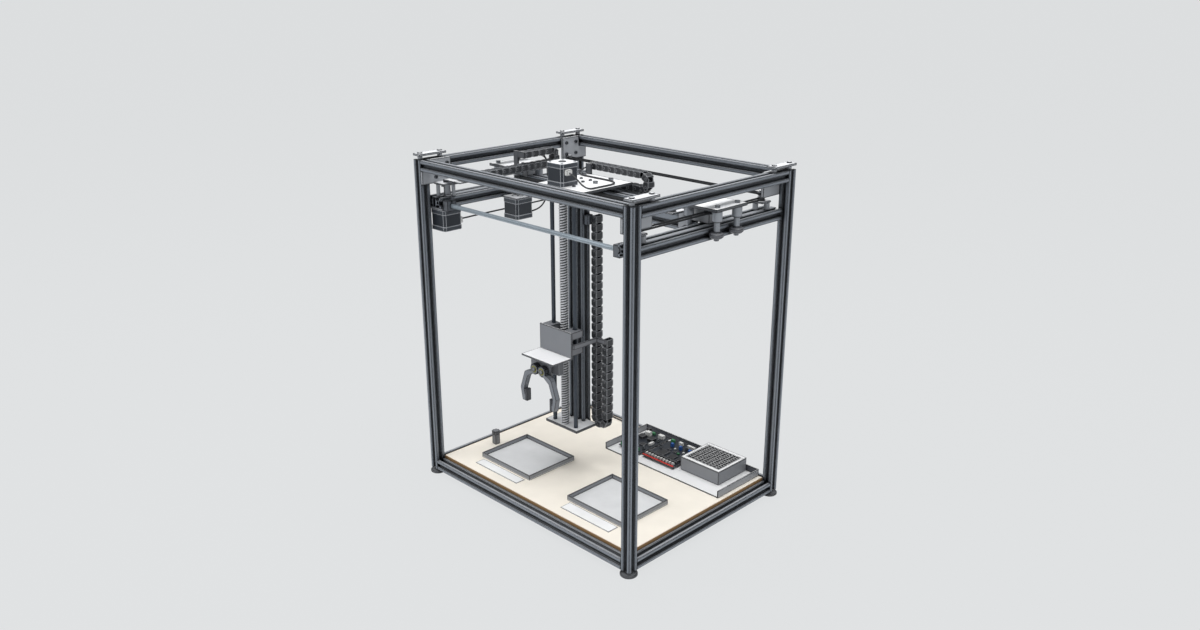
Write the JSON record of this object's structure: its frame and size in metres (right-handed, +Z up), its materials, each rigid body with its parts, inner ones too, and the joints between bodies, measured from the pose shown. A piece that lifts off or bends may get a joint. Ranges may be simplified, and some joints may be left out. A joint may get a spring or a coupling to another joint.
{
  "type": "cartesian gantry robot with gripper",
  "caption": "Bench gantry robot: slotted aluminium frame, belt driven bridge and carriage, a hanging lead screw column with a geared finger gripper, over a board with trays.",
  "frame": {"origin": "on the floor, under the middle of the four levelling feet", "axes": "+Z up, +X from the motor side to the right as seen from the front, +Y from the gripper's side to the back"},
  "size_m": [0.5738, 0.4256, 0.647],
  "materials": {
    "extrusion": "satin anodised",
    "foot_plastic": "matt",
    "plate_metal": "satin",
    "board": "painted cream",
    "tray_plastic": "matt",
    "tray_white": "matt",
    "case_metal": "satin",
    "circuit_board": "satin",
    "cap_grey": "matt",
    "motor_black": "satin",
    "steel": "ground",
    "belt_rubber": "matt",
    "cable_sheath": "matt",
    "chain_plastic": "matt",
    "pulley_metal": "satin",
    "screw_steel": "oiled",
    "gripper_metal": "satin",
    "bearing_plastic": "matt",
    "servo_plastic": "satin",
    "finger_metal": "satin",
    "wheel_plastic": "satin"
  },
  "bodies": {
    "frame": {"corner_posts": "extrusion", "top_beams": "extrusion", "bottom_beams": "extrusion", "side_rails": "extrusion", "levelling_feet": "foot_plastic", "corner_plates": "plate_metal", "base_board": "board", "workpiece_trays": "tray_plastic", "electronics_tray": "tray_white", "power_supply": "case_metal", "control_boards": "circuit_board", "capped_block": "cap_grey", "y_motor": "motor_black", "frame_brackets": "plate_metal", "tie_rod": "steel", "y_belts": "belt_rubber", "y_chain": "chain_plastic", "y_motor_cable": "cable_sheath"},
    "y_motor_pulley_body": {"y_motor_pulley": "pulley_metal"},
    "y_front_idler_body": {"y_front_idler": "pulley_metal"},
    "rear_pulley_left_body": {"rear_pulley_left": "pulley_metal"},
    "rear_pulley_right_body": {"rear_pulley_right": "pulley_metal"},
    "bridge": {"carriage_plates": "plate_metal", "beam_end_blocks": "plate_metal", "cross_beam": "extrusion", "y_wheel_axles": "steel", "x_motor": "motor_black", "bridge_brackets": "plate_metal", "x_belt": "belt_rubber", "x_chain": "chain_plastic", "x_motor_cable": "cable_sheath"},
    "x_motor_pulley_body": {"x_motor_pulley": "pulley_metal"},
    "x_idler_pulley_body": {"x_idler_pulley": "pulley_metal"},
    "x_carriage": {"x_carriage_plate": "plate_metal", "x_wheel_axles": "steel", "z_column": "extrusion", "guide_rods": "steel", "z_bottom_plate": "plate_metal", "z_motor": "motor_black", "z_chain": "chain_plastic", "z_motor_cable": "cable_sheath"},
    "lead_screw_body": {"lead_screw": "screw_steel"},
    "z_carriage": {"z_carriage_plate": "gripper_metal", "gripper_plate": "gripper_metal", "rod_bearing_blocks": "bearing_plastic", "gripper_servo": "servo_plastic"},
    "finger_left_body": {"finger_left": "finger_metal"},
    "finger_right_body": {"finger_right": "finger_metal"},
    "y_wheel_1_body": {"y_wheel_1": "wheel_plastic"},
    "y_wheel_2_body": {"y_wheel_2": "wheel_plastic"},
    "y_wheel_3_body": {"y_wheel_3": "wheel_plastic"},
    "y_wheel_4_body": {"y_wheel_4": "wheel_plastic"},
    "y_wheel_5_body": {"y_wheel_5": "wheel_plastic"},
    "y_wheel_6_body": {"y_wheel_6": "wheel_plastic"},
    "y_wheel_7_body": {"y_wheel_7": "wheel_plastic"},
    "y_wheel_8_body": {"y_wheel_8": "wheel_plastic"},
    "x_wheel_1_body": {"x_wheel_1": "wheel_plastic"},
    "x_wheel_2_body": {"x_wheel_2": "wheel_plastic"},
    "x_wheel_3_body": {"x_wheel_3": "wheel_plastic"},
    "x_wheel_4_body": {"x_wheel_4": "wheel_plastic"}
  },
  "joints": [
    {"name": "y_slide", "type": "slide", "parent": "frame", "child": "bridge", "axis": [0, 1, 0], "range_m": [-0.085, 0.07], "deforming": ["y_chain"]},
    {"name": "x_slide", "type": "slide", "parent": "bridge", "child": "x_carriage", "axis": [1, 0, 0], "range_m": [-0.088, 0.15], "deforming": ["x_chain"]},
    {"name": "z_slide", "type": "slide", "parent": "x_carriage", "child": "z_carriage", "axis": [0, 0, 1], "range_m": [-0.135, 0.165], "deforming": ["z_chain"]},
    {"name": "grip", "type": "hinge", "parent": "z_carriage", "child": "finger_left_body", "pos_m": [-0.0552, -0.114, 0.2583], "axis": [0, -1, 0], "range_deg": [-15, 17]},
    {"name": "finger_right_turn", "type": "hinge", "parent": "z_carriage", "child": "finger_right_body", "pos_m": [-0.0348, -0.114, 0.2583], "axis": [0, -1, 0], "range_deg": [-18, 18]},
    {"name": "y_motor_pulley_turn", "type": "hinge", "parent": "frame", "child": "y_motor_pulley_body", "pos_m": [-0.242, -0.1635, 0.585], "axis": [0, 0, 1], "continuous": true},
    {"name": "y_front_idler_turn", "type": "hinge", "parent": "frame", "child": "y_front_idler_body", "pos_m": [0.242, -0.1635, 0.585], "axis": [0, 0, 1], "continuous": true},
    {"name": "rear_pulley_left_turn", "type": "hinge", "parent": "frame", "child": "rear_pulley_left_body", "pos_m": [-0.242, 0.155, 0.585], "axis": [0, 0, 1], "continuous": true},
    {"name": "rear_pulley_right_turn", "type": "hinge", "parent": "frame", "child": "rear_pulley_right_body", "pos_m": [0.242, 0.155, 0.585], "axis": [0, 0, 1], "continuous": true},
    {"name": "x_motor_pulley_turn", "type": "hinge", "parent": "bridge", "child": "x_motor_pulley_body", "pos_m": [-0.203, -0.021, 0.586], "axis": [0, 0, 1], "continuous": true},
    {"name": "x_idler_pulley_turn", "type": "hinge", "parent": "bridge", "child": "x_idler_pulley_body", "pos_m": [0.19, -0.021, 0.586], "axis": [0, 0, 1], "continuous": true},
    {"name": "y_wheel_1_turn", "type": "hinge", "parent": "bridge", "child": "y_wheel_1_body", "pos_m": [-0.2749, -0.008, 0.5555], "axis": [0, 0, 1], "continuous": true},
    {"name": "y_wheel_2_turn", "type": "hinge", "parent": "bridge", "child": "y_wheel_2_body", "pos_m": [-0.2749, 0.044, 0.5555], "axis": [0, 0, 1], "continuous": true},
    {"name": "y_wheel_3_turn", "type": "hinge", "parent": "bridge", "child": "y_wheel_3_body", "pos_m": [-0.2151, -0.008, 0.5555], "axis": [0, 0, 1], "continuous": true},
    {"name": "y_wheel_4_turn", "type": "hinge", "parent": "bridge", "child": "y_wheel_4_body", "pos_m": [-0.2151, 0.044, 0.5555], "axis": [0, 0, 1], "continuous": true},
    {"name": "y_wheel_5_turn", "type": "hinge", "parent": "bridge", "child": "y_wheel_5_body", "pos_m": [0.2749, -0.008, 0.5555], "axis": [0, 0, 1], "continuous": true},
    {"name": "y_wheel_6_turn", "type": "hinge", "parent": "bridge", "child": "y_wheel_6_body", "pos_m": [0.2749, 0.044, 0.5555], "axis": [0, 0, 1], "continuous": true},
    {"name": "y_wheel_7_turn", "type": "hinge", "parent": "bridge", "child": "y_wheel_7_body", "pos_m": [0.2151, -0.008, 0.5555], "axis": [0, 0, 1], "continuous": true},
    {"name": "y_wheel_8_turn", "type": "hinge", "parent": "bridge", "child": "y_wheel_8_body", "pos_m": [0.2151, 0.044, 0.5555], "axis": [0, 0, 1], "continuous": true},
    {"name": "x_wheel_1_turn", "type": "hinge", "parent": "x_carriage", "child": "x_wheel_1_body", "pos_m": [-0.08, -0.0019, 0.574], "axis": [0, 0, 1], "continuous": true},
    {"name": "x_wheel_2_turn", "type": "hinge", "parent": "x_carriage", "child": "x_wheel_2_body", "pos_m": [-0.01, -0.0019, 0.574], "axis": [0, 0, 1], "continuous": true},
    {"name": "x_wheel_3_turn", "type": "hinge", "parent": "x_carriage", "child": "x_wheel_3_body", "pos_m": [-0.08, 0.0379, 0.574], "axis": [0, 0, 1], "continuous": true},
    {"name": "x_wheel_4_turn", "type": "hinge", "parent": "x_carriage", "child": "x_wheel_4_body", "pos_m": [-0.01, 0.0379, 0.574], "axis": [0, 0, 1], "continuous": true},
    {"name": "lead_screw_turn", "type": "hinge", "parent": "x_carriage", "child": "lead_screw_body", "pos_m": [-0.045, -0.05, 0.35], "axis": [0, 0, 1], "continuous": true}
  ],
  "couplings": [
    {"joint": "finger_right_turn", "follows": "grip", "ratio": -1},
    {"joint": "y_motor_pulley_turn", "follows": "y_slide", "rad_per_m": 196.35},
    {"joint": "y_front_idler_turn", "follows": "y_slide", "rad_per_m": 196.35},
    {"joint": "rear_pulley_left_turn", "follows": "y_slide", "rad_per_m": 196.35},
    {"joint": "rear_pulley_right_turn", "follows": "y_slide", "rad_per_m": 196.35},
    {"joint": "x_motor_pulley_turn", "follows": "x_slide", "rad_per_m": -196.35},
    {"joint": "x_idler_pulley_turn", "follows": "x_slide", "rad_per_m": -196.35},
    {"joint": "y_wheel_1_turn", "follows": "y_slide", "rad_per_m": -91.743},
    {"joint": "y_wheel_2_turn", "follows": "y_slide", "rad_per_m": -91.743},
    {"joint": "y_wheel_3_turn", "follows": "y_slide", "rad_per_m": 91.743},
    {"joint": "y_wheel_4_turn", "follows": "y_slide", "rad_per_m": 91.743},
    {"joint": "y_wheel_5_turn", "follows": "y_slide", "rad_per_m": 91.743},
    {"joint": "y_wheel_6_turn", "follows": "y_slide", "rad_per_m": 91.743},
    {"joint": "y_wheel_7_turn", "follows": "y_slide", "rad_per_m": -91.743},
    {"joint": "y_wheel_8_turn", "follows": "y_slide", "rad_per_m": -91.743},
    {"joint": "x_wheel_1_turn", "follows": "x_slide", "rad_per_m": 91.743},
    {"joint": "x_wheel_2_turn", "follows": "x_slide", "rad_per_m": 91.743},
    {"joint": "x_wheel_3_turn", "follows": "x_slide", "rad_per_m": -91.743},
    {"joint": "x_wheel_4_turn", "follows": "x_slide", "rad_per_m": -91.743},
    {"joint": "lead_screw_turn", "follows": "z_slide", "rad_per_m": -628.32}
  ]
}
